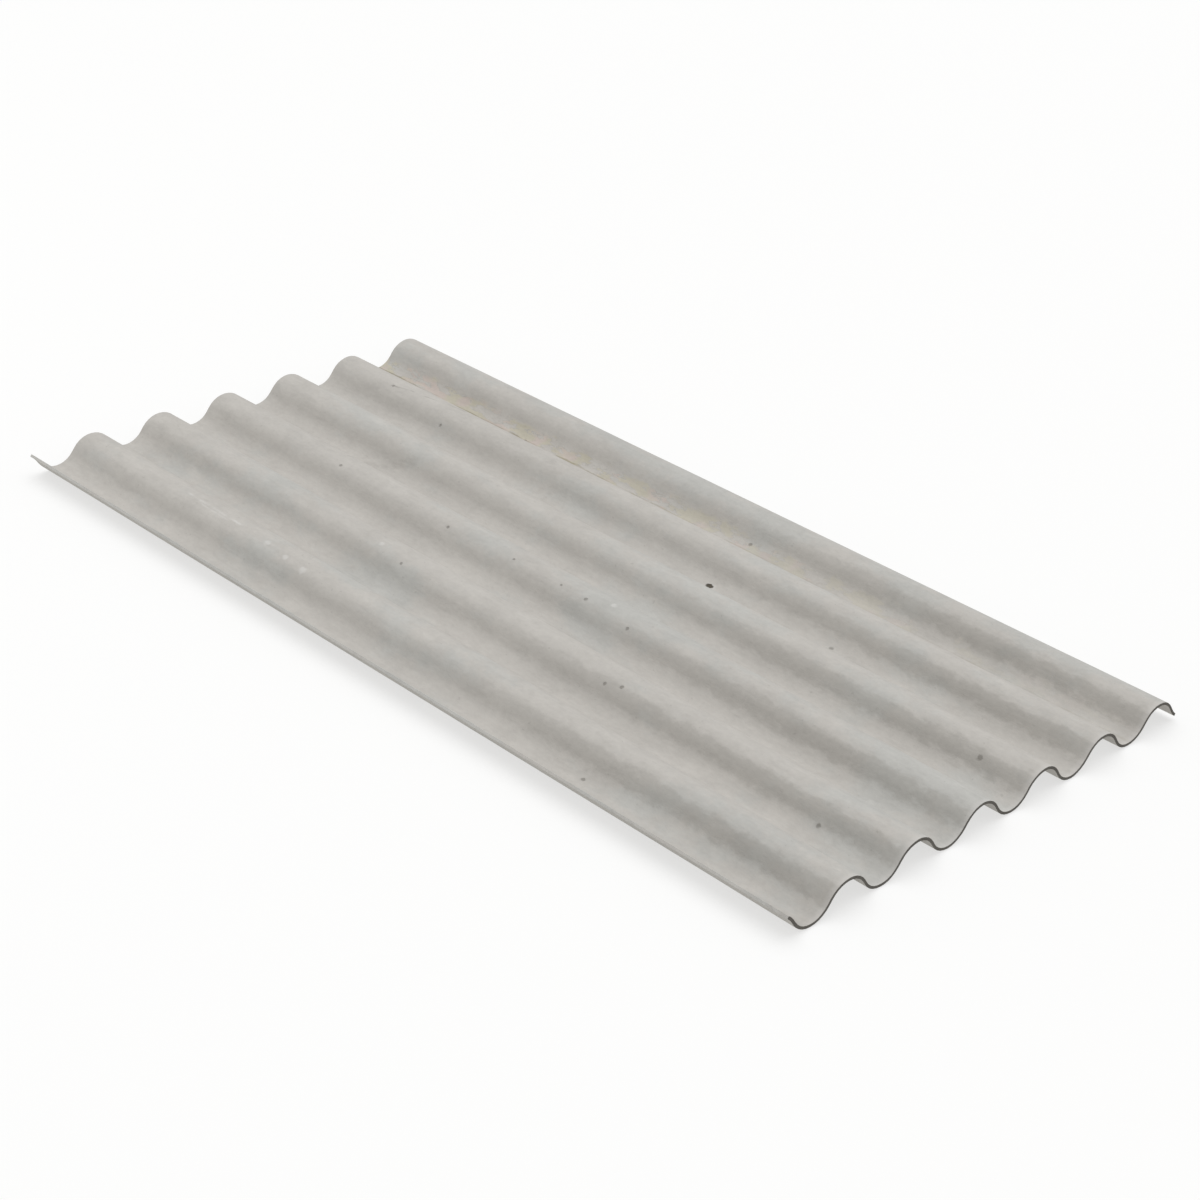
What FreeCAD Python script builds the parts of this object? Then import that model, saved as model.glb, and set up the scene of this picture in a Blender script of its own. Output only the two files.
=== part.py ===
"""Corrugated fibre cement roofing sheet: 177/51 profile, six waves wide.

The sheet is one moulded piece of even thickness. Its section is a train of equal waves: a bend over
each crest, a bend under each valley, and a straight flank tangent to both. One long edge stops just
short of a crest and the other just short of a valley, both trimmed square to the surface, so the
section is the same when the sheet is turned over.

Frame, in millimetres: +X across the waves, +Y along them, +Z up. The origin is the middle of the
sheet's footprint, on the surface that its valleys rest on. The rising edge is on the -X side.
"""

import FreeCAD
import Part
import Sketcher

import math
import os

POINT = FreeCAD.Vector
SHEET_NAME = "sizes"
NODE = "corrugated_sheet"

# Driving dimensions: cell name, value in millimetres, meaning.
SIZES = [
    ("sheet_width", 1100.0, "overall width, across the waves"),
    ("sheet_length", 2130.0, "overall length, along the waves"),
    ("sheet_thickness", 6.0, "thickness, square to the surface"),
    ("wave_pitch", 177.0, "crest to crest"),
    ("wave_depth", 51.0, "valley to crest, on one side of the sheet"),
    ("flank_length", 10.0, "straight run between two bends, along the slope"),
    ("trim_margin", 10.0, "how far the trimming cuts reach past the sheet"),
]

# Sizes worked out from those cells, as FreeCAD expressions. Its trigonometry is in degrees.
# BEND is the bends' radius at mid-thickness, and SLOPE the slope of the straight run between two of
# them: the middle of that run lies a quarter pitch along and half the depth up from a valley.
WIDTH, LENGTH, THICK, PITCH, DEPTH, RUN, MARGIN = (
    f"{SHEET_NAME}.{name}" for name, _, _ in SIZES
)
BEND = f"(({PITCH} * {PITCH} / 4 + {DEPTH} * {DEPTH} - {RUN} * {RUN}) / (4 * {DEPTH}))"
SLOPE = f"(atan({PITCH} / 4 / ({BEND} - {DEPTH} / 2)) - atan({RUN} / 2 / {BEND}))"
INSIDE = f"({BEND} - {THICK} / 2)"
OUTSIDE = f"({BEND} + {THICK} / 2)"
VALLEY_CENTRE_Z = OUTSIDE
CREST_CENTRE_Z = f"({THICK} + {DEPTH} - {OUTSIDE})"
TOTAL_DEPTH = f"({DEPTH} + {THICK})"

# Whole waves in the width, and how far each long edge stops short of its crest or valley. A sheet
# that runs past its crest or valley has a shortfall below zero.
WAVES = f"floor({WIDTH} / {PITCH})"
SHORTFALL = f"((({WAVES} + 0.5) * {PITCH} - {WIDTH}) / 2)"
FIRST_VALLEY = f"({PITCH} / 2 - {SHORTFALL} - {WIDTH} / 2)"

# The rising edge's outermost corner lies on the side of the bend that reaches furthest out. Where
# the edge is past the bend, on the flank, the corner drops along the flank.
EDGE_RADIUS = f"({SHORTFALL} >= 0 ? {INSIDE} : {OUTSIDE})"
EDGE_LEAN = f"min({SLOPE}; asin(min(1; {SHORTFALL} / {EDGE_RADIUS})))"
PAST_BEND = f"max(0; {SHORTFALL} - {EDGE_RADIUS} * sin({SLOPE}))"
EDGE_CORNER_Z = (
    f"({CREST_CENTRE_Z} + {EDGE_RADIUS} * cos({EDGE_LEAN}) - {PAST_BEND} * tan({SLOPE}))"
)

# The two trimming cuts are one shape turned over: distances of its two ends from the middle.
CUT_LOW_X = f"({WIDTH} / 2 + ({EDGE_CORNER_Z} + {MARGIN}) * tan({EDGE_LEAN}))"
CUT_HIGH_X = (
    f"({WIDTH} / 2 - ({TOTAL_DEPTH} + {MARGIN} - {EDGE_CORNER_Z}) * tan({EDGE_LEAN}))"
)
BLANK_X = f"({WIDTH} / 2 + 2 * {PITCH})"


def make_sizes(doc):
    """The spreadsheet of driving dimensions, one named cell each."""
    sheet = doc.addObject("Spreadsheet::Sheet", SHEET_NAME)
    for row, (name, value, meaning) in enumerate(SIZES, start=1):
        sheet.set(f"A{row}", meaning)
        sheet.set(f"B{row}", str(value))
        sheet.setAlias(f"B{row}", name)
    doc.recompute()
    return sheet


def worked_out(owner, expression):
    """The number that an expression on the sizes comes to."""
    value = owner.evalExpression(expression)
    return float(getattr(value, "Value", value))


def add_section_sketch(body, name):
    """An empty sketch on the body's XZ plane: its own x is +X, and its own y is +Z."""
    sketch = body.newObject("Sketcher::SketchObject", name)
    planes = [plane for plane in body.Origin.OriginFeatures if plane.Role == "XZ_Plane"]
    sketch.AttachmentSupport = [(planes[0], "")]
    sketch.MapMode = "FlatFace"
    return sketch


def size_constraint(sketch, kind, references, expression):
    """Adds a dimension to a sketch and binds it to an expression on the sizes."""
    value = worked_out(sketch, expression)
    index = sketch.addConstraint(Sketcher.Constraint(kind, *references, value))
    sketch.setExpression(f"Constraints[{index}]", expression)


def pin(sketch, edge, end, x, z):
    """Holds one point of an edge at a place given by two expressions."""
    size_constraint(sketch, "DistanceX", (edge, end), x)
    size_constraint(sketch, "DistanceY", (edge, end), z)


START, END, CENTRE = 1, 2, 3


def draw_wave_side(sketch, valley_radius, crest_radius):
    """One side of a wave, from a valley's middle to the next: bend, flank, bend, flank, bend.

    Returns the first and the last edge.
    """
    at = {
        name: worked_out(sketch, expression)
        for name, expression in {
            "valley_radius": valley_radius,
            "crest_radius": crest_radius,
            "valley_z": VALLEY_CENTRE_Z,
            "crest_z": CREST_CENTRE_Z,
            "slope": SLOPE,
            "pitch": PITCH,
            "first": FIRST_VALLEY,
        }.items()
    }
    up = math.radians(90)
    down = -up
    slope = math.radians(at["slope"])
    # centre, radius, and the angles that the bend starts and ends at, turning left
    bends = [
        (at["first"] - at["pitch"], at["valley_z"], at["valley_radius"], down, down + slope),
        (at["first"] - at["pitch"] / 2, at["crest_z"], at["crest_radius"], up - slope, up + slope),
        (at["first"], at["valley_z"], at["valley_radius"], down - slope, down),
    ]
    arcs = []
    for x, z, radius, begin, finish in bends:
        circle = Part.Circle(POINT(x, z, 0), POINT(0, 0, 1), radius)
        arcs.append(sketch.addGeometry(Part.ArcOfCircle(circle, begin, finish), False))
    valley, crest, next_valley = arcs
    for arc, x, z, radius in (
        (valley, f"{FIRST_VALLEY} - {PITCH}", VALLEY_CENTRE_Z, valley_radius),
        (crest, f"{FIRST_VALLEY} - {PITCH} / 2", CREST_CENTRE_Z, crest_radius),
        (next_valley, FIRST_VALLEY, VALLEY_CENTRE_Z, valley_radius),
    ):
        pin(sketch, arc, CENTRE, x, z)
        size_constraint(sketch, "Radius", (arc,), radius)

    # A crest arc turns left too, so it starts on its +X side.
    for low_arc, low_end, high_end in ((valley, END, END), (next_valley, START, START)):
        low = sketch.getPoint(low_arc, low_end)
        high = sketch.getPoint(crest, high_end)
        flank = sketch.addGeometry(Part.LineSegment(low, high), False)
        sketch.addConstraint(Sketcher.Constraint("Tangent", flank, START, low_arc, low_end))
        sketch.addConstraint(Sketcher.Constraint("Tangent", flank, END, crest, high_end))
    sketch.addConstraint(Sketcher.Constraint("Vertical", valley, START, valley, CENTRE))
    sketch.addConstraint(Sketcher.Constraint("Vertical", next_valley, END, next_valley, CENTRE))
    return valley, next_valley


def close_section(sketch, low_edge, low_end, high_edge, high_end):
    """A straight join through the thickness, at a valley's middle."""
    low = sketch.getPoint(low_edge, low_end)
    high = sketch.getPoint(high_edge, high_end)
    line = sketch.addGeometry(Part.LineSegment(low, high), False)
    sketch.addConstraint(Sketcher.Constraint("Coincident", line, START, low_edge, low_end))
    sketch.addConstraint(Sketcher.Constraint("Coincident", line, END, high_edge, high_end))


def draw_wave(body):
    """The outline of one whole wave, through the sheet's thickness."""
    sketch = add_section_sketch(body, "wave_section")
    under = draw_wave_side(sketch, OUTSIDE, INSIDE)
    over = draw_wave_side(sketch, INSIDE, OUTSIDE)
    close_section(sketch, under[0], START, over[0], START)
    close_section(sketch, under[1], END, over[1], END)
    return sketch


def draw_trim(sketch, side):
    """The waste outside one long edge, as a four-sided cut. side is -1 or +1 along X."""
    sign = "-" if side < 0 else ""
    low_x, high_x = (CUT_LOW_X, CUT_HIGH_X) if side < 0 else (CUT_HIGH_X, CUT_LOW_X)
    below = f"-{MARGIN}"
    above = f"{TOTAL_DEPTH} + {MARGIN}"
    corners = [
        (f"{sign}{low_x}", below),
        (f"{sign}{high_x}", above),
        (f"{sign}{BLANK_X}", above),
        (f"{sign}{BLANK_X}", below),
    ]
    points = [POINT(worked_out(sketch, x), worked_out(sketch, z), 0) for x, z in corners]
    lines = [
        sketch.addGeometry(Part.LineSegment(a, b), False)
        for a, b in zip(points, points[1:] + points[:1])
    ]
    for line, following in zip(lines, lines[1:] + lines[:1]):
        sketch.addConstraint(Sketcher.Constraint("Coincident", line, END, following, START))
    for line, (x, z) in zip(lines, corners):
        pin(sketch, line, START, x, z)


def make_sheet(doc):
    """The sheet: one wave padded to length, repeated across the width, and trimmed at both edges."""
    body = doc.addObject("PartDesign::Body", NODE)
    body.Label = NODE

    section = draw_wave(body)
    wave = body.newObject("PartDesign::Pad", "one_wave")
    wave.Profile = section
    wave.SideType = "Symmetric"
    wave.setExpression("Length", LENGTH)
    doc.recompute()

    # The first wave lies mostly outside the rising edge, and the last is a spare.
    train = body.newObject("PartDesign::LinearPattern", "wave_train")
    train.Originals = [wave]
    train.Direction = (section, ["H_Axis"])
    train.Mode = "Spacing"
    train.setExpression("Offset", PITCH)
    train.setExpression("Occurrences", f"{WAVES} + 2")
    body.Tip = train
    doc.recompute()
    untrimmed = train.Shape.Volume

    waste = add_section_sketch(body, "edge_waste")
    for side in (-1, 1):
        draw_trim(waste, side)
    trim = body.newObject("PartDesign::Pocket", "edge_trim")
    trim.Profile = waste
    trim.SideType = "Symmetric"
    trim.setExpression("Length", f"{LENGTH} + 2 * {MARGIN}")
    body.Tip = trim
    doc.recompute()
    if not trim.Shape.Volume < untrimmed:
        raise RuntimeError("the trimming cuts took nothing off the sheet")
    body.Placement = FreeCAD.Placement()
    return body


def check(doc, pieces):
    """Stops if any feature failed, or a piece isn't one valid solid."""
    doc.recompute()
    for item in doc.Objects:
        if {"Invalid", "Error"} & set(item.State):
            raise RuntimeError(f"{item.Name} failed: {item.State}")
    for piece in pieces:
        shape = piece.Shape
        if shape.isNull() or not shape.isValid() or len(shape.Solids) != 1:
            raise RuntimeError(f"{piece.Label} is not one valid solid")


def main():
    doc = FreeCAD.newDocument("corrugated_fibre_cement_sheet")
    make_sizes(doc)
    pieces = [make_sheet(doc)]
    check(doc, pieces)
    os.makedirs("parts", exist_ok=True)
    for piece in pieces:
        piece.Shape.exportStep(f"parts/{piece.Label}.step")
        box = piece.Shape.BoundBox
        print(
            f"{piece.Label}: {box.XLength:.2f} x {box.YLength:.2f} x {box.ZLength:.2f} mm,"
            f" lowest point {box.ZMin:.3f}, volume {piece.Shape.Volume / 1e6:.4f} litres"
        )


main()
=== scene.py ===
"""A weathered corrugated fibre cement roofing sheet, lying on a pale floor.

Sizes are in metres, in the construction model's frame: +X across the waves, +Y along them, +Z up,
with the floor at the undersides of the valleys. The rising long edge is on the -X side.
"""

import math

import bmesh
import bpy
from bpy.props import FloatProperty, FloatVectorProperty, IntProperty, PointerProperty
from mathutils import Matrix, Vector, noise


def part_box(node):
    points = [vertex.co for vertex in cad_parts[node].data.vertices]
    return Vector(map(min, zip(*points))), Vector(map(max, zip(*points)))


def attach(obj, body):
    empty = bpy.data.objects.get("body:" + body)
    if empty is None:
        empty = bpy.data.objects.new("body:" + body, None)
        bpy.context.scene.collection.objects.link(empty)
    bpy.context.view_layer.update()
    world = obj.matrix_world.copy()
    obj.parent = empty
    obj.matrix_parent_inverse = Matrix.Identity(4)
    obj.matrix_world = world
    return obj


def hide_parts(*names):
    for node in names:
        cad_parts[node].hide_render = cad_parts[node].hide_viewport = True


bl_info = {
    "name": "Corrugated Fibre Cement Sheet",
    "version": (1, 0, 0),
    "blender": (4, 5, 0),
    "location": "3D View > Sidebar > Roofing",
    "description": "Models a weathered corrugated roofing sheet and a plain studio for it",
    "category": "Add Mesh",
}

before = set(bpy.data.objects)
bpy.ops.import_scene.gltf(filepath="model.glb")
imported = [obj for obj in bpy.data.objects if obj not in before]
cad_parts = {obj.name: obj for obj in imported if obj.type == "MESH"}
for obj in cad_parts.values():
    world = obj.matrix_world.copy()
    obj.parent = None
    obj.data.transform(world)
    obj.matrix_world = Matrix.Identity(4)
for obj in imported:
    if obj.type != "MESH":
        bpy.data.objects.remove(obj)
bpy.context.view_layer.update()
SHEET_NODE = "corrugated_sheet"
SHEET_LOW, SHEET_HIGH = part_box(SHEET_NODE)
MM = 0.001

# How the mesh is divided and its faces sorted. A facing is one part of a face's unit normal.
EDGE_STEPS = 2
CUT_STRIP = 2 * MM
JOIN_DISTANCE = 1e-6
SHARP = math.radians(30)
CUT_CORNER = math.radians(60)
SAWN_FACING = 0.6
LOWER_FACING = -0.3
WEATHERED_FACE, SHELTERED_FACE, SAWN_FACE = 0, 1, 2

# How quickly the felt's hollows and the straying of the saw change, to the metre.
FELT_ACROSS, FELT_ALONG = 14, 6
SAW_SIDES, SAW_ENDS, SAW_DEPTH = 9, 11, 5
# Where in the noise the sides and the ends are read, so that they stray apart.
SIDE_NOISE_AT, END_NOISE_AT = 3, 8
# How fast the finer layers of a noise fade, how much finer each one is, and how many there are.
FELT_NOISE = (0.9, 2.0, 3)
SAW_NOISE = (0.8, 2.0, 4)

# The studio, in metres, radians, watts and strengths.
WHITE = (1.0, 1.0, 1.0, 1.0)
FLOOR_REACH = 60
FLOOR_ROUGHNESS = 0.9
FLOOR_SHINE = 0.1
FLOOR_GLOW = 0.58
SKY_STRENGTH = 0.625
SUN_SPREAD = math.radians(70)
SUN_STRENGTH = 1.40
SUN_TILT = (math.radians(-14), math.radians(11), 0)
PANEL_SIZE = 1.5
PANEL_POWER = 12
PANEL_PLACE = (-3.0, 3.5, 0.7)
PANEL_AIM = (0.0, 0.8, 0.0)
FRAME_WIDTH_MM = 36
FAR_LIMIT = 200

# Marks on the weathered face. A spot is x, y and radius in metres.
SPECKS = [
    (-0.067, 0.632, 0.0040),
    (-0.073, 0.284, 0.0038),
    (-0.067, 0.094, 0.0032),
    (-0.067, -0.042, 0.0030),
    (-0.068, -0.112, 0.0044),
    (-0.079, -0.236, 0.0038),
    (-0.251, 0.222, 0.0034),
    (-0.257, -0.356, 0.0038),
    (-0.249, -0.392, 0.0042),
    (-0.475, -0.526, 0.0044),
    (0.265, 0.690, 0.0032),
    (0.229, -0.490, 0.0052),
    (-0.277, -0.896, 0.0044),
    (0.093, -0.952, 0.0052),
    (0.291, 0.880, 0.0040),
    (0.402, 0.560, 0.0044),
    (0.421, -0.102, 0.0046),
]
CHALK_SPOTS = [
    (-0.411, 0.440, 0.0085),
    (-0.419, 0.374, 0.0070),
    (-0.424, 0.314, 0.0090),
    (-0.235, 0.300, 0.0065),
    (-0.050, -0.170, 0.0070),
]
PIT = (0.227, -0.168, 0.0080)
# A stroke is x and y of its two ends, its half width in metres and its strength.
CHALK_STROKES = [
    (-0.404, 0.720, -0.407, 0.520, 0.0035, 0.50),
    (-0.412, 0.660, -0.414, 0.560, 0.0025, 0.30),
]
DARK_STROKES = [
    (0.289, 0.890, 0.303, 0.820, 0.0024, 0.34),
    (0.303, 0.800, 0.333, 0.640, 0.0020, 0.26),
    (0.041, 0.694, 0.097, 0.564, 0.0110, 0.14),
    (-0.030, 0.660, -0.004, 0.640, 0.0080, 0.14),
]
# A damp patch is x, y, half width and half length in metres.
DAMP_PATCHES = [
    (-0.320, 0.260, 0.11, 0.14),
    (-0.040, -0.190, 0.13, 0.24),
    (-0.180, -0.980, 0.38, 0.18),
    (0.255, 0.180, 0.06, 0.17),
    (0.520, 0.000, 0.08, 1.50),
    (-0.550, 0.000, 0.06, 1.50),
]


class SheetSizes(bpy.types.PropertyGroup):
    """The sheet's section and how finely it is divided."""

    width: FloatProperty(
        name="Width",
        description="Overall width, across the waves",
        default=SHEET_HIGH.x - SHEET_LOW.x,
        unit="LENGTH",
    )
    length: FloatProperty(
        name="Length",
        description="Overall length, along the waves",
        default=SHEET_HIGH.y - SHEET_LOW.y,
        unit="LENGTH",
    )
    height: FloatProperty(
        name="Height",
        description="From the undersides of the valleys to the tops of the crests",
        default=SHEET_HIGH.z - SHEET_LOW.z,
        unit="LENGTH",
    )
    thickness: FloatProperty(
        name="Thickness",
        description="Thickness, square to the surface",
        default=6 * MM,
        unit="LENGTH",
    )
    pitch: FloatProperty(
        name="Pitch",
        description="From crest to crest",
        default=177 * MM,
        unit="LENGTH",
    )
    flank_length: FloatProperty(
        name="Flank length",
        description="Straight run between two bends, along the slope",
        default=10 * MM,
        unit="LENGTH",
    )
    waves: IntProperty(
        name="Waves",
        description="Number of whole waves",
        default=6,
        min=1,
    )
    bend_steps: IntProperty(
        name="Bend steps",
        description="Faces around each bend",
        default=10,
        min=2,
    )
    row_length: FloatProperty(
        name="Row length",
        description="Length of one row of faces along the sheet",
        default=10 * MM,
        unit="LENGTH",
    )
    relief: FloatProperty(
        name="Relief",
        description="Deepest hollow left by the felt that the wet sheet was pressed on",
        default=0.5 * MM,
        unit="LENGTH",
    )
    arris: FloatProperty(
        name="Arris",
        description="Width of the worn corner along the cut edges",
        default=0.7 * MM,
        unit="LENGTH",
    )
    wander: FloatProperty(
        name="Wander",
        description="How far the saw cuts stray inwards from a straight line",
        default=1.2 * MM,
        unit="LENGTH",
    )


class SheetColours(bpy.types.PropertyGroup):
    """Colours of the weathered surface."""

    warm: FloatVectorProperty(
        name="Warm grey",
        description="Dry cement",
        default=(0.508, 0.488, 0.457),
        subtype="COLOR",
    )
    cool: FloatVectorProperty(
        name="Cool grey",
        description="Cement in the damp patches",
        default=(0.488, 0.483, 0.459),
        subtype="COLOR",
    )
    silt: FloatVectorProperty(
        name="Silt",
        description="Yellowish silt left by water in the last valley",
        default=(0.500, 0.470, 0.375),
        subtype="COLOR",
    )
    blush: FloatVectorProperty(
        name="Blush",
        description="Pinkish patches among the silt",
        default=(0.535, 0.462, 0.420),
        subtype="COLOR",
    )
    tide: FloatVectorProperty(
        name="Tide line",
        description="Olive line left where the water in the last valley dries",
        default=(0.23, 0.20, 0.125),
        subtype="COLOR",
    )
    # this colour is real grime, and on the rising slopes it also serves as painted shade
    grime_and_shade: FloatVectorProperty(
        name="Grime",
        description="Brownish film that clings to the rising slopes",
        default=(0.300, 0.286, 0.260),
        subtype="COLOR",
    )
    # besides the specks, pores and pit, this colour also paints the shadow along the lower corners of
    # the long edges
    dirt_and_shade: FloatVectorProperty(
        name="Dirt",
        description="Specks, pores and the pit",
        default=(0.095, 0.085, 0.068),
        subtype="COLOR",
    )
    scuff: FloatVectorProperty(
        name="Scuff",
        description="Chalky rubbed places",
        default=(0.68, 0.67, 0.65),
        subtype="COLOR",
    )
    # dark partly from the sawn core and partly as painted shade for the shade that the ends stand in
    sawn_and_shade: FloatVectorProperty(
        name="Sawn",
        description="Saw-cut faces at the two ends",
        default=(0.120, 0.112, 0.100),
        subtype="COLOR",
    )
    underside: FloatVectorProperty(
        name="Underside",
        description="The sheltered lower face",
        default=(0.43, 0.415, 0.385),
        subtype="COLOR",
    )


class StudioSettings(bpy.types.PropertyGroup):
    """Where the camera and the lights stand."""

    azimuth: FloatProperty(
        name="Azimuth",
        description="Direction of the camera, zero looking along +Y",
        default=math.radians(-46.60),
        subtype="ANGLE",
    )
    elevation: FloatProperty(
        name="Elevation",
        description="How far the camera looks down",
        default=math.radians(28.30),
        subtype="ANGLE",
    )
    roll: FloatProperty(
        name="Roll",
        description="Tilt of the camera about its own axis",
        default=math.radians(4.27),
        subtype="ANGLE",
    )
    distance: FloatProperty(
        name="Distance",
        description="From the camera to its target",
        default=4.98,
        unit="LENGTH",
    )
    target: FloatVectorProperty(
        name="Target",
        description="The point that the camera looks at",
        default=(0.0159, -0.0703, 0.003),
        subtype="TRANSLATION",
    )
    lens: FloatProperty(
        name="Lens",
        description="Focal length in millimetres on a 36 mm frame",
        default=75.67,
    )
    floor: FloatVectorProperty(
        name="Floor",
        description="Colour of the floor",
        default=(0.38, 0.38, 0.375),
        subtype="COLOR",
    )


class Field:
    """A number that varies over a surface. Arithmetic on it adds Math nodes."""

    def __init__(self, finish, socket):
        self.finish = finish
        self.socket = socket

    def math(self, operation, *values, clamp=False):
        names = ("Value", "Value_001", "Value_002")
        settings = {"operation": operation, "use_clamp": clamp}
        node = self.finish.node("ShaderNodeMath", settings, dict(zip(names, values)))
        return Field(self.finish, node.outputs[0])

    def __add__(self, other):
        return self.math("ADD", self, other)

    def __sub__(self, other):
        return self.math("SUBTRACT", self, other)

    def __rsub__(self, other):
        return self.math("SUBTRACT", other, self)

    def __mul__(self, other):
        return self.math("MULTIPLY", self, other)

    __radd__ = __add__
    __rmul__ = __mul__

    def ramp(self, low, high):
        """Zero below low, one above high, and smooth between. Turned round if low is the larger."""
        sockets = {"Value": self, "From Min": low, "From Max": high}
        settings = {"interpolation_type": "SMOOTHSTEP"}
        return Field(self.finish, self.finish.node("ShaderNodeMapRange", settings, sockets).outputs[0])


class Finish:
    """One material, and the nodes that make its pattern on Object coordinates."""

    def __init__(self, name):
        self.material = bpy.data.materials.new(name)
        self.material.use_nodes = True
        self.tree = self.material.node_tree
        self.tree.nodes.clear()
        self.place = self.node("ShaderNodeTexCoord").outputs["Object"]
        split = self.node("ShaderNodeSeparateXYZ", sockets={"Vector": self.place})
        self.x, self.y, self.z = (Field(self, socket) for socket in split.outputs)
        self.ragged = (self.cloud(0.005, (1, 1.5, 1), 2, 0.6) - 0.5) * 0.7
        self.broken = self.cloud(0.018, (1, 2.5, 1), 3, 0.6).ramp(0.30, 0.60)

    def node(self, kind, settings=None, sockets=None):
        """Adds a node: its settings first, then the values or links of its sockets."""
        node = self.tree.nodes.new(kind)
        for name, value in (settings or {}).items():
            setattr(node, name, value)
        for name, value in (sockets or {}).items():
            socket = next(s for s in node.inputs if name in (s.identifier, s.name))
            value = getattr(value, "socket", value)
            if isinstance(value, bpy.types.NodeSocket):
                self.tree.links.new(value, socket)
            else:
                socket.default_value = value
        return node

    def cloud(self, size, stretch=(1, 1, 1), detail=3.0, roughness=0.5, at=(0, 0, 0)):
        """Soft noise about 0.5, with features of about the given size, longer where stretched."""
        scale = tuple(1 / (size * s) for s in stretch)
        sockets = {"Vector": self.place, "Location": at, "Scale": scale}
        spread = self.node("ShaderNodeMapping", {"vector_type": "POINT"}, sockets)
        sockets = {
            "Vector": spread.outputs["Vector"],
            "Scale": 1.0,
            "Detail": detail,
            "Roughness": roughness,
        }
        return Field(self, self.node("ShaderNodeTexNoise", {}, sockets).outputs["Fac"])

    def blend(self, below, above, factor):
        """One colour over another."""
        settings = {"data_type": "RGBA", "clamp_factor": True}
        sockets = {"A_Color": below, "B_Color": above, "Factor_Float": factor}
        return self.node("ShaderNodeMix", settings, sockets).outputs[2]

    def brighten(self, colour, factor):
        """A colour times a number."""
        sockets = {"Vector": colour, "Scale": factor}
        return self.node("ShaderNodeVectorMath", {"operation": "SCALE"}, sockets).outputs[0]

    def spot(self, x, y, radius, edge=0.95):
        """One at a place on the sheet, fading to zero at the radius, a little longer than wide."""
        across = (self.x - x) * (1 / radius)
        along = (self.y - y) * (0.8 / radius)
        away = across * across + along * along + self.ragged * 1.8
        return away.ramp(1.0, 1.0 - edge)

    def oval(self, x, y, half_width, half_length):
        """One in the middle of a soft upright oval, and zero outside it."""
        across = (self.x - x) * (1 / half_width)
        along = (self.y - y) * (1 / half_length)
        return (across * across + along * along).ramp(1.0, 0.2)

    def stroke(self, x1, y1, x2, y2, half_width, strength):
        """A line of the given strength between two places, broken by the ragged noise."""
        run = math.hypot(x2 - x1, y2 - y1)
        along_x, along_y = (x2 - x1) / run, (y2 - y1) / run
        along = (self.x - x1) * along_x + (self.y - y1) * along_y
        aside = (self.y - y1) * along_x - (self.x - x1) * along_y
        away = aside * (1 / half_width) + self.ragged * 2.0
        ends = along.ramp(0, 0.1 * run) * along.ramp(run, 0.9 * run)
        return away.math("ABSOLUTE", away).ramp(1.2, 0.2) * ends * self.broken * strength

    def strongest(self, masks):
        """Whichever of several masks is the greatest."""
        found = masks[0]
        for mask in masks[1:]:
            found = found.math("MAXIMUM", found, mask)
        return found

    def finish(self, colour, rough, height, depth, strength=1.0):
        """Joins the pattern to the shader."""
        bump = self.node(
            "ShaderNodeBump", {}, {"Height": height, "Distance": depth, "Strength": strength}
        )
        shader = self.node(
            "ShaderNodeBsdfPrincipled",
            {},
            {
                "Base Color": colour,
                "Roughness": rough,
                "Normal": bump.outputs["Normal"],
                "Specular IOR Level": 0.12,
            },
        )
        self.node("ShaderNodeOutputMaterial", {}, {"Surface": shader.outputs["BSDF"]})
        return self.material


def opaque(colour):
    """A colour property with full alpha."""
    return (*colour, 1.0)


def near(field, value):
    """How far a field is from a value, either way."""
    gap = field - value
    return gap.math("ABSOLUTE", gap)


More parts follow.
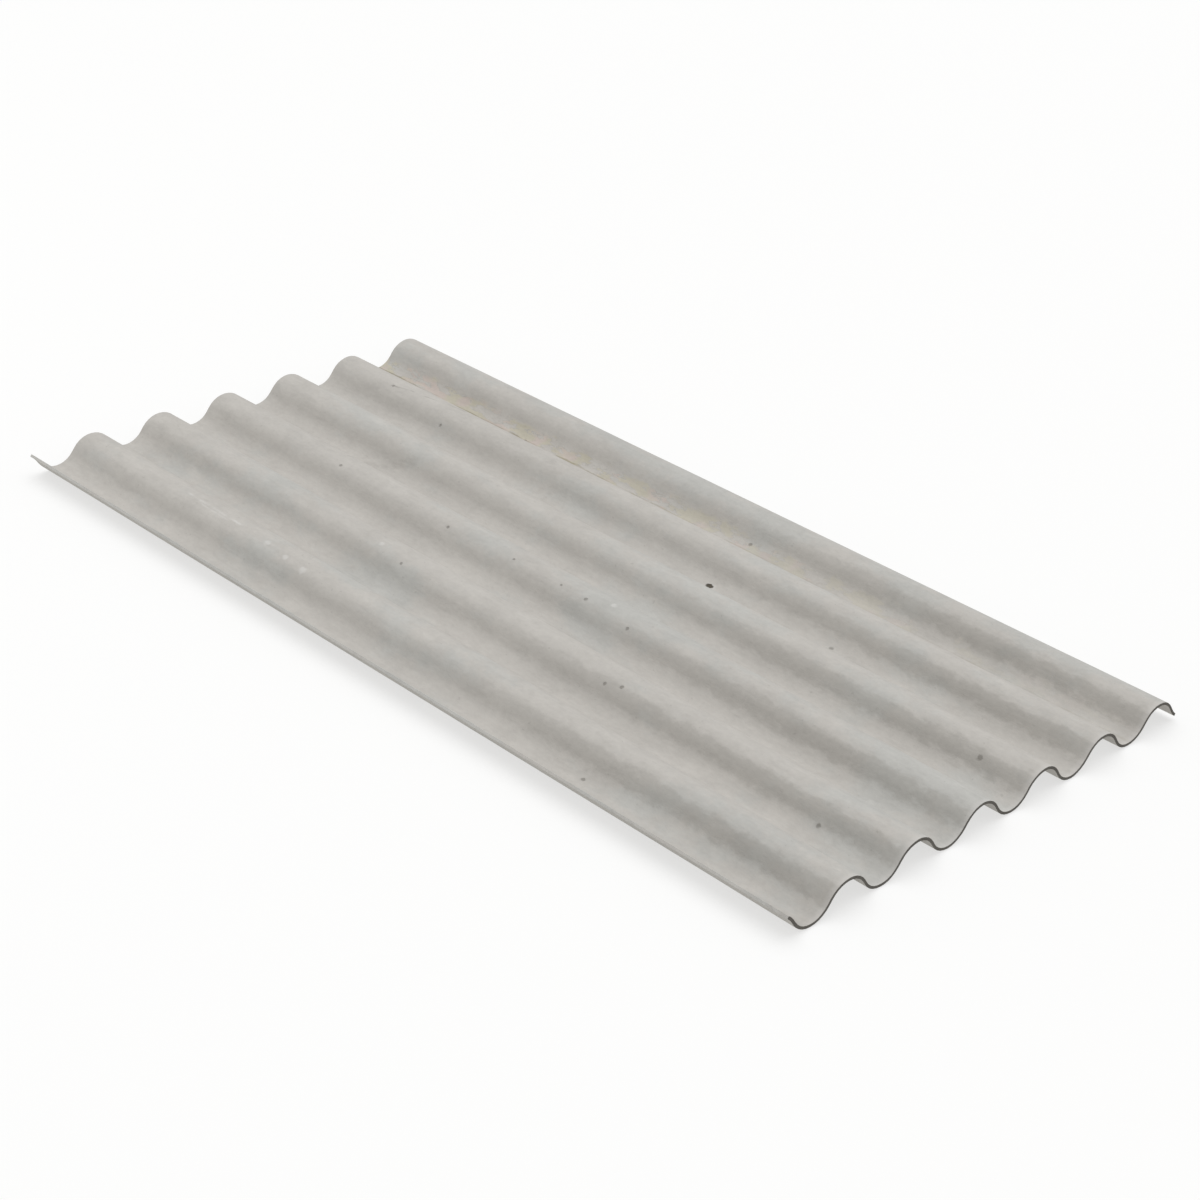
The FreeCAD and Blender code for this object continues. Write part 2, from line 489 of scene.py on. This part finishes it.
def weathered_cement(colours, size):
    """The upper face: felt-marked grey cement with damp patches, grime that also paints the shade of
    the rising slopes, silt, specks and chalk, and a painted shadow along the lower corners of the long
    edges.
    """
    f = Finish("weathered_cement")
    patches = f.strongest([f.oval(*place) for place in DAMP_PATCHES])
    damp = (f.cloud(0.15, (1, 1.7, 1), 7, 0.68, (0.4, 0.1, 0)) + patches * 0.13).ramp(0.50, 0.66)
    colour = f.blend(opaque(colours.warm), opaque(colours.cool), damp)

    # a film of grime on the rising slopes, with ragged edges, which also paints the shade of those
    # slopes; it grows darker towards the near end as painted shade
    first_valley = size.pitch * (0.25 - size.waves / 2)
    from_valley = f.x.math("WRAP", f.x - first_valley, size.pitch, 0.0)
    fray = f.cloud(0.022, (0.8, 1.8, 1), 5, 0.66, (0.2, 0.7, 0)) - 0.5
    slope_grime_and_shade = near(from_valley + fray * 0.040, 0.048).ramp(0.019, 0.007)
    # darker towards the near end: painted shade where the light on the rising slopes falls off
    thickness = f.y.ramp(0.3, -1.0) * 0.30 + 0.06
    # a further darkening of the middle of the slopes towards the near end: painted shade
    near_end_slope_shade = near(from_valley, 0.040).ramp(0.050, 0.020) * f.y.ramp(0.0, -0.95) * 0.08
    colour = f.blend(colour, opaque(colours.grime_and_shade), slope_grime_and_shade * thickness + near_end_slope_shade)
    freckles = f.cloud(0.017, (1, 1.4, 1), 5, 0.68, (0.9, 0.3, 0)).ramp(0.48, 0.72)
    colour = f.blend(colour, opaque(colours.grime_and_shade), freckles * 0.09)

    # silt beside the last valley, yellow and pink by turns and fainter towards the near end
    beside_valley = near(f.x + fray * 0.03, 0.416).ramp(0.023, 0.014)
    laid = f.cloud(0.034, (0.7, 2.0, 1), 4, 0.62) + f.y.ramp(0.0, 0.8) * 0.05
    hue = f.cloud(0.060, (1, 1.2, 1), 2, 0.5, (0, 0.3, 0)).ramp(0.47, 0.60)
    silt = f.blend(opaque(colours.silt), opaque(colours.blush), hue)
    fading = f.y.ramp(-1.1, 0.6) * 0.70 + 0.08
    colour = f.blend(colour, silt, beside_valley * laid.ramp(0.49, 0.54) * fading)
    outline = near(laid, 0.50).ramp(0.014, 0.004)
    colour = f.blend(colour, opaque(colours.grime_and_shade), beside_valley * outline * fading * 0.45)
    winding = (f.cloud(0.050, (1, 1.5, 1), 3, 0.6, (0, 0.6, 0)) - 0.5) * 0.018
    tide_line = near(f.x + winding, 0.4025).ramp(0.0050, 0.0015)
    left = f.cloud(0.040, (1, 3, 1), 3, 0.6, (0.5, 0, 0)).ramp(0.34, 0.56)
    tide_line = tide_line * left * (f.y.ramp(0.0, 0.55) * 0.50 + 0.14)
    colour = f.blend(colour, opaque(colours.tide), tide_line)

    # marks of the felt, streaks that run with the waves, blotches, and grains
    streaks = f.cloud(0.008, (1, 9, 1), 3, 0.55) - 0.5
    blotches = f.cloud(0.030, (1, 2.0, 1), 6, 0.66) - 0.5
    broad = f.cloud(0.11, (1, 2.4, 1), 3, 0.55) - 0.5
    felt = f.cloud(0.0080, (1, 1.4, 1), 4, 0.62) - 0.5
    grains = f.cloud(0.0016, (1, 1, 1), 2, 0.5) - 0.5
    tone = 1.0 + streaks * 0.10 + blotches * 0.26 + broad * 0.16 + felt * 0.18 + grains * 0.08
    colour = f.brighten(colour, tone)
    pores = f.cloud(0.0075, (1, 1.3, 1), 1, 0.5).ramp(0.73, 0.80)
    chalk = f.strongest(
        [f.spot(*place) * 0.45 for place in CHALK_SPOTS]
        + [f.stroke(*run) for run in CHALK_STROKES]
        + [f.y.ramp(-1.050, -1.062) * 0.22]
    )
    colour = f.blend(colour, opaque(colours.scuff), chalk)
    specks = f.strongest([f.spot(*place) for place in SPECKS])
    # painted shadow: a dark line along the lower corners of the long edges, where the underside lies
    # in shade
    painted_edge_shadow = f.strongest([
        f.x.ramp(-0.545, -0.547) * f.z.ramp(0.0418, 0.0400),
        f.x.ramp(0.543, 0.545) * f.z.ramp(0.0108, 0.0090),
    ]) * 0.75
    corner = f.x.ramp(-0.47, -0.54) * f.y.ramp(-0.94, -1.06) * f.broken * 0.30
    dark = f.strongest(
        [specks * 0.46, pores * 0.14, corner, painted_edge_shadow] + [f.stroke(*run) for run in DARK_STROKES]
    )
    colour = f.blend(colour, opaque(colours.dirt_and_shade), dark)

    pit = f.spot(*PIT, edge=0.6)
    rim = f.spot(PIT[0] - 0.002, PIT[1] - 0.004, PIT[2] * 1.8)
    colour = f.blend(colour, opaque(colours.scuff), rim * 0.3)
    colour = f.blend(colour, opaque(colours.dirt_and_shade), pit)

    rough = 0.92 + felt * 0.12 - specks * 0.1
    height = felt * 0.40 + streaks * 0.25 + grains * 0.10 + blotches - pit * 2.4 - specks * 0.8
    return f.finish(colour, rough, height, 1.3 * MM)


def sheltered_cement(colours):
    """The lower face: cleaner, evener cement with long marks of the mould."""
    f = Finish("sheltered_cement")
    drawn = f.cloud(0.012, (1, 12, 1), 3, 0.55) - 0.5
    mottle = f.cloud(0.045, (1, 1.6, 1), 6, 0.62) - 0.5
    felt = f.cloud(0.0045, (1, 1.3, 1), 3, 0.6) - 0.5
    tone = 1.0 + drawn * 0.16 + mottle * 0.24 + felt * 0.14
    colour = f.brighten(tuple(colours.underside), tone)
    height = felt * 0.6 + drawn * 0.5 + mottle * 0.5
    return f.finish(colour, 0.92 + felt * 0.1, height, 0.7 * MM)


def shaded_sawn_cement(colours):
    """The cut ends: rough, with the sheet's crumbs and thin layers showing, and dark partly from the
    sawn core and partly as painted shade.
    """
    f = Finish("shaded_sawn_cement")
    crumbs = f.cloud(0.0025, (1, 1, 1), 4, 0.65) - 0.5
    layers = f.cloud(0.0014, (12, 1, 1), 2, 0.5, (0, 0, 0.3)) - 0.5
    broad = f.cloud(0.035, (1, 1, 1), 3, 0.55) - 0.5
    colour = f.brighten(tuple(colours.sawn_and_shade), 1.0 + crumbs * 0.6 + layers * 0.4 + broad * 0.5)
    return f.finish(colour, 0.95, crumbs + layers * 0.5, 0.8 * MM)


def draw_section(bm, size):
    """The topside of the section as a chain of edges at y = 0, from the rising edge to the falling."""
    depth = size.height - size.thickness
    half_pitch, run = size.pitch / 2, size.flank_length
    bend = (half_pitch**2 + depth**2 - run**2) / (4 * depth)
    slope = math.atan2(half_pitch / 2, bend - depth / 2) - math.atan2(run / 2, bend)
    crest_radius = bend + size.thickness / 2
    valley_radius = bend - size.thickness / 2
    crest_z = size.height - crest_radius
    valley_z = size.thickness + valley_radius
    shortfall = ((size.waves + 0.5) * size.pitch - size.width) / 2
    lean = math.asin(shortfall / valley_radius)
    edge_strip = CUT_STRIP / bend

    def turn(vertex, centre_x, centre_z, angle, steps):
        centre = (centre_x, 0, centre_z)
        geometry = bmesh.ops.spin(
            bm, geom=[vertex], cent=centre, axis=(0, 1, 0), dvec=(0, 0, 0), angle=angle,
            steps=steps, use_duplicate=False,
        )
        return next(e for e in geometry["geom_last"] if isinstance(e, bmesh.types.BMVert))

    def go_straight(vertex, rise):
        vertex = bmesh.ops.extrude_vert_indiv(bm, verts=[vertex])["verts"][0]
        move = (run * math.cos(slope), 0, rise * run * math.sin(slope))
        bmesh.ops.translate(bm, verts=[vertex], vec=move)
        return vertex

    # part of a crest's bend, then whole bends and flanks by turns, then part of a valley's bend
    crest_x = -size.width / 2 - shortfall
    start = (crest_x + crest_radius * math.sin(lean), 0, crest_z + crest_radius * math.cos(lean))
    vertex = bmesh.ops.create_vert(bm, co=start)["vert"][0]
    vertex = turn(vertex, crest_x, crest_z, edge_strip, 1)
    vertex = turn(vertex, crest_x, crest_z, slope - lean - edge_strip, EDGE_STEPS)
    for half_wave in range(1, 2 * size.waves + 1):
        centre_x = crest_x + half_wave * half_pitch
        if half_wave % 2:
            vertex = go_straight(vertex, -1)
            vertex = turn(vertex, centre_x, valley_z, -2 * slope, size.bend_steps)
        else:
            vertex = go_straight(vertex, 1)
            vertex = turn(vertex, centre_x, crest_z, 2 * slope, size.bend_steps)
    vertex = go_straight(vertex, -1)
    centre_x = crest_x + (2 * size.waves + 1) * half_pitch
    vertex = turn(vertex, centre_x, valley_z, lean + edge_strip - slope, EDGE_STEPS)
    turn(vertex, centre_x, valley_z, -edge_strip, 1)


def wear(bm, size):
    """Presses the felt's hollows into both faces, and lets the cut edges stray a little inwards."""
    shallow = size.relief / 2
    hollows = {}
    for vertex in bm.verts:
        x, y, z = vertex.co
        place = Vector((x * FELT_ACROSS, y * FELT_ALONG, z * FELT_ACROSS))
        hollow = shallow * (1 + noise.fractal(place, *FELT_NOISE))
        hollows[vertex] = vertex.normal * -max(0.0, hollow)
    for vertex, move in hollows.items():
        vertex.co += move
    half_width, half_length = size.width / 2, size.length / 2
    for vertex in bm.verts:
        x, y, z = vertex.co
        side_place = Vector((y * SAW_SIDES, SIDE_NOISE_AT, 0))
        end_place = Vector((x * SAW_ENDS, END_NOISE_AT, z * SAW_DEPTH))
        stray_x = size.wander * abs(noise.fractal(side_place, *SAW_NOISE))
        stray_y = size.wander * abs(noise.fractal(end_place, *SAW_NOISE))
        near_side = max(0.0, 1 - (half_width - abs(x)) / size.row_length)
        near_end = max(0.0, 1 - (half_length - abs(y)) / size.row_length)
        vertex.co.x = min(max(x, -half_width), half_width) - math.copysign(stray_x * near_side, x)
        vertex.co.y -= math.copysign(stray_y * near_end, y)
        vertex.co.z = min(max(vertex.co.z, 0.0), size.height)


def build_sheet(size):
    """The sheet's mesh: the section drawn out along +Y, thickened, and its cut corners worn."""
    bm = bmesh.new()
    draw_section(bm, size)
    bmesh.ops.translate(bm, verts=bm.verts, vec=(0, -size.length / 2, 0))
    middle = size.length - 2 * CUT_STRIP
    rows = round(middle / size.row_length)
    drawn = bm.verts[:] + bm.edges[:]
    for length, steps in ((CUT_STRIP, 1), (middle, rows), (CUT_STRIP, 1)):
        drawn = bmesh.ops.spin(
            bm, geom=drawn, cent=(0, 0, 0), axis=(0, 0, 1), dvec=(0, length / steps, 0), angle=0,
            steps=steps, use_duplicate=False,
        )["geom_last"]
    bmesh.ops.remove_doubles(bm, verts=bm.verts, dist=JOIN_DISTANCE)
    bmesh.ops.recalc_face_normals(bm, faces=bm.faces)
    if sum(face.normal.z for face in bm.faces) < 0:
        bmesh.ops.reverse_faces(bm, faces=bm.faces)
    bmesh.ops.solidify(bm, geom=bm.faces[:], thickness=size.thickness)
    bmesh.ops.recalc_face_normals(bm, faces=bm.faces)
    bm.normal_update()
    wear(bm, size)
    bm.normal_update()
    corners = [edge for edge in bm.edges if edge.calc_face_angle(0) > CUT_CORNER]
    bmesh.ops.bevel(
        bm, geom=corners, offset=size.arris, affect="EDGES", segments=1, profile=0.5, material=-1
    )
    bm.normal_update()
    for face in bm.faces:
        if abs(face.normal.y) > SAWN_FACING:
            face.material_index = SAWN_FACE
        elif face.normal.z < LOWER_FACING:
            face.material_index = SHELTERED_FACE
        else:
            face.material_index = WEATHERED_FACE
        face.smooth = True
    return bm


class ROOFING_OT_sheet(bpy.types.Operator):
    """Model the corrugated sheet in place of its plain construction solid"""

    bl_idname = "roofing.sheet"
    bl_label = "Corrugated Sheet"

    def execute(self, context):
        size = context.scene.roofing_sizes
        bm = build_sheet(size)
        mesh = bpy.data.meshes.new("weathered_sheet")
        bm.to_mesh(mesh)
        bm.free()
        mesh.set_sharp_from_angle(angle=SHARP)
        colours = context.scene.roofing_colours
        mesh.materials.append(weathered_cement(colours, size))
        mesh.materials.append(sheltered_cement(colours))
        mesh.materials.append(shaded_sawn_cement(colours))
        sheet = bpy.data.objects.new("weathered_sheet", mesh)
        context.scene.collection.objects.link(sheet)
        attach(sheet, "root")
        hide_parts(SHEET_NODE)
        return {"FINISHED"}


class ROOFING_OT_studio(bpy.types.Operator):
    """Add the floor, the lights and the camera"""

    bl_idname = "roofing.studio"
    bl_label = "Studio"

    def execute(self, context):
        scene = context.scene
        settings = scene.roofing_studio
        self.add_floor(scene, settings)
        self.add_lights(scene)
        self.add_camera(scene, settings)
        scene.view_settings.view_transform = "Standard"
        return {"FINISHED"}

    def add_floor(self, scene, settings):
        """A wide pale floor that gives off a little light, so that the shadow stays pale."""
        bm = bmesh.new()
        bmesh.ops.create_grid(bm, x_segments=1, y_segments=1, size=FLOOR_REACH)
        mesh = bpy.data.meshes.new("floor")
        bm.to_mesh(mesh)
        bm.free()
        material = bpy.data.materials.new("pale_floor")
        material.use_nodes = True
        shader = material.node_tree.nodes["Principled BSDF"]
        shader.inputs["Base Color"].default_value = opaque(settings.floor)
        shader.inputs["Roughness"].default_value = FLOOR_ROUGHNESS
        shader.inputs["Specular IOR Level"].default_value = FLOOR_SHINE
        shader.inputs["Emission Color"].default_value = WHITE
        shader.inputs["Emission Strength"].default_value = FLOOR_GLOW
        mesh.materials.append(material)
        floor = bpy.data.objects.new("floor", mesh)
        scene.collection.objects.link(floor)

    def add_lights(self, scene):
        """An even white sky, a broad overhead softbox and a low panel behind the left edge."""
        world = bpy.data.worlds.new("soft_studio")
        world.use_nodes = True
        sky = world.node_tree.nodes["Background"]
        sky.inputs["Color"].default_value = WHITE
        sky.inputs["Strength"].default_value = SKY_STRENGTH
        scene.world = world
        sun = bpy.data.lights.new("overhead_softbox", "SUN")
        sun.angle = SUN_SPREAD
        sun.energy = SUN_STRENGTH
        lamp = bpy.data.objects.new("overhead_softbox", sun)
        lamp.rotation_euler = SUN_TILT
        scene.collection.objects.link(lamp)
        panel = bpy.data.lights.new("low_side_panel", "AREA")
        panel.size = PANEL_SIZE
        panel.energy = PANEL_POWER
        panel_lamp = bpy.data.objects.new("low_side_panel", panel)
        place = Vector(PANEL_PLACE)
        towards = Vector(PANEL_AIM) - place
        panel_lamp.matrix_world = (
            Matrix.Translation(place) @ towards.to_track_quat("-Z", "Y").to_matrix().to_4x4()
        )
        scene.collection.objects.link(panel_lamp)

    def add_camera(self, scene, settings):
        """The camera, on a circle about its target and tilted about its own axis."""
        camera = bpy.data.cameras.new("view")
        camera.lens = settings.lens
        camera.sensor_width = FRAME_WIDTH_MM
        camera.clip_end = FAR_LIMIT
        viewer = bpy.data.objects.new("view", camera)
        azimuth, elevation = settings.azimuth, settings.elevation
        back = Vector((
            math.sin(azimuth) * math.cos(elevation),
            -math.cos(azimuth) * math.cos(elevation),
            math.sin(elevation),
        ))
        turned = (-back).to_track_quat("-Z", "Y").to_matrix().to_4x4()
        rolled = Matrix.Rotation(settings.roll, 4, "Z")
        place = Matrix.Translation(Vector(settings.target) + back * settings.distance)
        viewer.matrix_world = place @ turned @ rolled
        scene.collection.objects.link(viewer)
        scene.camera = viewer


class ROOFING_PT_tools(bpy.types.Panel):
    """Sizes, colours and the steps that make the sheet"""

    bl_label = "Corrugated Sheet"
    bl_space_type = "VIEW_3D"
    bl_region_type = "UI"
    bl_category = "Roofing"

    def draw(self, context):
        layout = self.layout
        for group in ("roofing_sizes", "roofing_colours", "roofing_studio"):
            settings = getattr(context.scene, group)
            box = layout.box()
            for name in settings.bl_rna.properties.keys():
                if name not in ("rna_type", "name"):
                    box.prop(settings, name)
        for step in STEPS:
            layout.operator(step.bl_idname)


STEPS = (ROOFING_OT_sheet, ROOFING_OT_studio)
CLASSES = (SheetSizes, SheetColours, StudioSettings, *STEPS, ROOFING_PT_tools)


def register():
    for each in CLASSES:
        bpy.utils.register_class(each)
    bpy.types.Scene.roofing_sizes = PointerProperty(type=SheetSizes)
    bpy.types.Scene.roofing_colours = PointerProperty(type=SheetColours)
    bpy.types.Scene.roofing_studio = PointerProperty(type=StudioSettings)


def unregister():
    del bpy.types.Scene.roofing_studio
    del bpy.types.Scene.roofing_colours
    del bpy.types.Scene.roofing_sizes
    for each in reversed(CLASSES):
        bpy.utils.unregister_class(each)


def main():
    register()
    bpy.ops.roofing.sheet()
    bpy.ops.roofing.studio()


if __name__ == "__main__":
    main()
